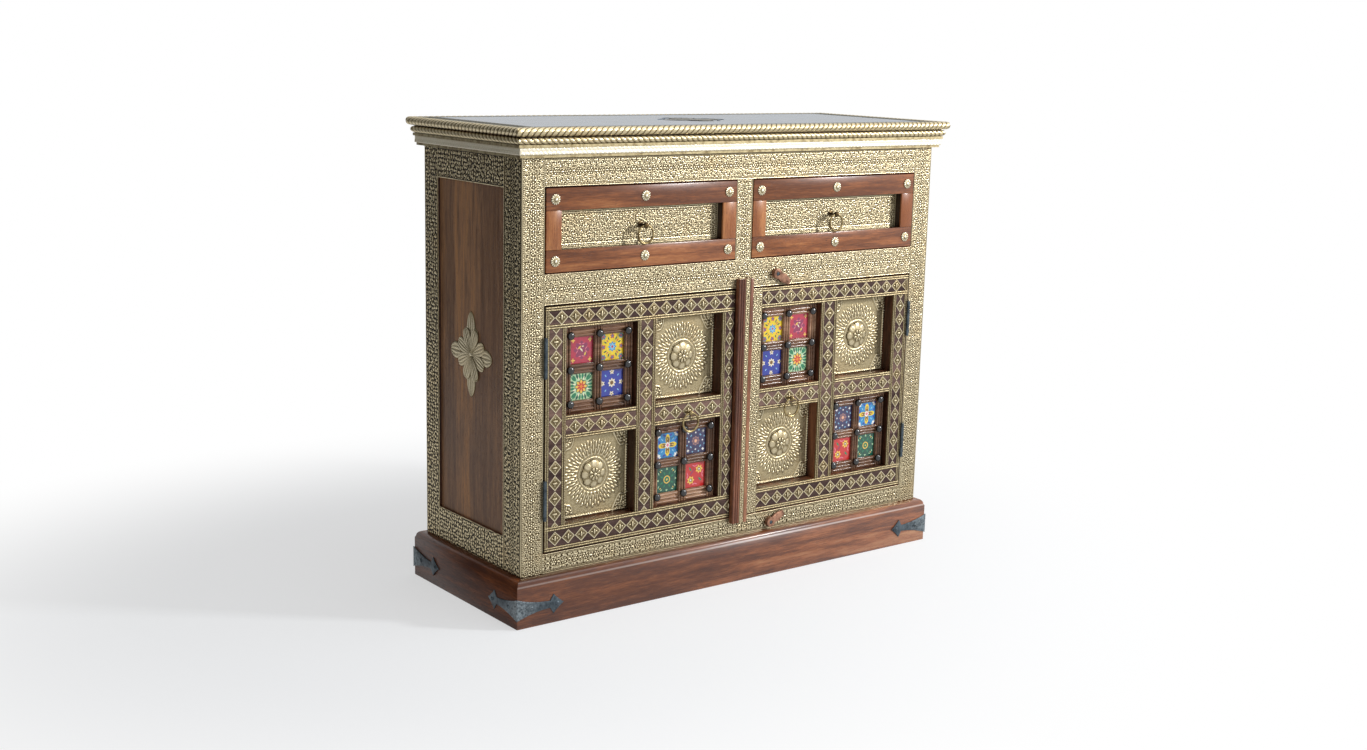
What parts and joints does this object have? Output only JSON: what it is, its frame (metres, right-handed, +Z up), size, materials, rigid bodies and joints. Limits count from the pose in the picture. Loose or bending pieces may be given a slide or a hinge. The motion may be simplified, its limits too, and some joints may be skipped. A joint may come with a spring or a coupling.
{
  "type": "moroccan carved cabinet",
  "caption": "Low wooden cabinet clad in embossed brass, with drawers over panelled doors of rosettes and glazed tiles, ring pulls, turn buttons, a rope-moulded top and a plinth.",
  "frame": {"origin": "on the floor under the middle of the cabinet", "axes": "+Z up, the front faces -Y, +X is the viewer's right"},
  "size_m": [1.048, 0.402, 0.9],
  "materials": {
    "sheesham_wood": "waxed reddish-brown hardwood",
    "lacquered_top": "glossy lacquered hardwood",
    "embossed_brass": "thin pale brass sheet, hammered and embossed",
    "cast_brass": "cast brass, polished by use",
    "aged_bronze": "tarnished cast metal",
    "black_iron": "dark forged iron",
    "glazed_tile": "opaque glazed earthenware with painted patterns",
    "black_glass": "opaque black glass beads"
  },
  "bodies": {
    "carcass": {"back_panel": "sheesham_wood", "bottom_board": "sheesham_wood", "brass_motifs": "embossed_brass", "corner_straps": "black_iron", "cornice_lower_rope": "sheesham_wood", "cornice_moulding": "sheesham_wood", "cornice_upper_rope": "sheesham_wood", "drawer_divider": "sheesham_wood", "drawer_guides": "sheesham_wood", "drawer_partition": "sheesham_wood", "dust_board": "sheesham_wood", "front_brass_sheet": "embossed_brass", "front_posts": "sheesham_wood", "front_rails": "sheesham_wood", "hinge_posts": "cast_brass", "latch_screws": "aged_bronze", "plinth_boards": "sheesham_wood", "rear_posts": "sheesham_wood", "rear_rails": "sheesham_wood", "shelf": "sheesham_wood", "shelf_cleats": "sheesham_wood", "side_brass_sheets": "embossed_brass", "side_panels": "sheesham_wood", "side_rails": "sheesham_wood", "top_board": "sheesham_wood", "top_brass_border": "embossed_brass", "top_panel": "lacquered_top"},
    "door_left": {"door_left_beads": "black_glass", "door_left_brass_strips": "embossed_brass", "door_left_frame": "sheesham_wood", "door_left_hinge_leaves": "cast_brass", "door_left_pull_post": "cast_brass", "door_left_rosettes": "embossed_brass", "door_left_tiles": "glazed_tile", "door_left_trellises": "sheesham_wood"},
    "door_left_ring": {"door_left_pull_ring": "cast_brass"},
    "door_right": {"door_right_astragal": "sheesham_wood", "door_right_beads": "black_glass", "door_right_brass_strips": "embossed_brass", "door_right_frame": "sheesham_wood", "door_right_hinge_leaves": "cast_brass", "door_right_pull_post": "cast_brass", "door_right_rosettes": "embossed_brass", "door_right_tiles": "glazed_tile", "door_right_trellises": "sheesham_wood"},
    "door_right_ring": {"door_right_pull_ring": "cast_brass"},
    "drawer_left": {"drawer_left_box": "sheesham_wood", "drawer_left_brass_panel": "embossed_brass", "drawer_left_front_frame": "sheesham_wood", "drawer_left_pull_post": "cast_brass", "drawer_left_studs": "cast_brass"},
    "drawer_left_ring": {"drawer_left_pull_ring": "cast_brass"},
    "drawer_right": {"drawer_right_box": "sheesham_wood", "drawer_right_brass_panel": "embossed_brass", "drawer_right_front_frame": "sheesham_wood", "drawer_right_pull_post": "cast_brass", "drawer_right_studs": "cast_brass"},
    "drawer_right_ring": {"drawer_right_pull_ring": "cast_brass"},
    "latch_bottom": {"latch_bottom": "aged_bronze"},
    "latch_top": {"latch_top": "aged_bronze"}
  },
  "joints": [
    {"name": "drawer_left_slide", "type": "slide", "parent": "carcass", "child": "drawer_left", "axis": [0, -1, 0], "range_m": [0, 0.25]},
    {"name": "drawer_right_slide", "type": "slide", "parent": "carcass", "child": "drawer_right", "axis": [0, -1, 0], "range_m": [0, 0.25]},
    {"name": "door_left_hinge", "type": "hinge", "parent": "carcass", "child": "door_left", "pos_m": [-0.4495, -0.1788, 0.3595], "axis": [0, 0, -1], "range_deg": [0, 105]},
    {"name": "door_right_hinge", "type": "hinge", "parent": "carcass", "child": "door_right", "pos_m": [0.4495, -0.1788, 0.3595], "axis": [0, 0, 1], "range_deg": [0, 105]},
    {"name": "drawer_left_ring_swing", "type": "hinge", "parent": "drawer_left", "child": "drawer_left_ring", "pos_m": [-0.23488, -0.1785, 0.7185], "axis": [-1, 0, 0], "range_deg": [0, 120]},
    {"name": "drawer_right_ring_swing", "type": "hinge", "parent": "drawer_right", "child": "drawer_right_ring", "pos_m": [0.23488, -0.1785, 0.7185], "axis": [-1, 0, 0], "range_deg": [0, 120]},
    {"name": "door_left_ring_swing", "type": "hinge", "parent": "door_left", "child": "door_left_ring", "pos_m": [-0.12475, -0.1845, 0.355], "axis": [-1, 0, 0], "range_deg": [0, 120]},
    {"name": "door_right_ring_swing", "type": "hinge", "parent": "door_right", "child": "door_right_ring", "pos_m": [0.12925, -0.1845, 0.355], "axis": [-1, 0, 0], "range_deg": [0, 120]},
    {"name": "latch_top_turn", "type": "hinge", "parent": "carcass", "child": "latch_top", "pos_m": [0.083, -0.179, 0.609], "axis": [0, 1, 0], "range_deg": [-30, 60]},
    {"name": "latch_bottom_turn", "type": "hinge", "parent": "carcass", "child": "latch_bottom", "pos_m": [0.087, -0.179, 0.1045], "axis": [0, -1, 0], "range_deg": [-24, 66]}
  ]
}
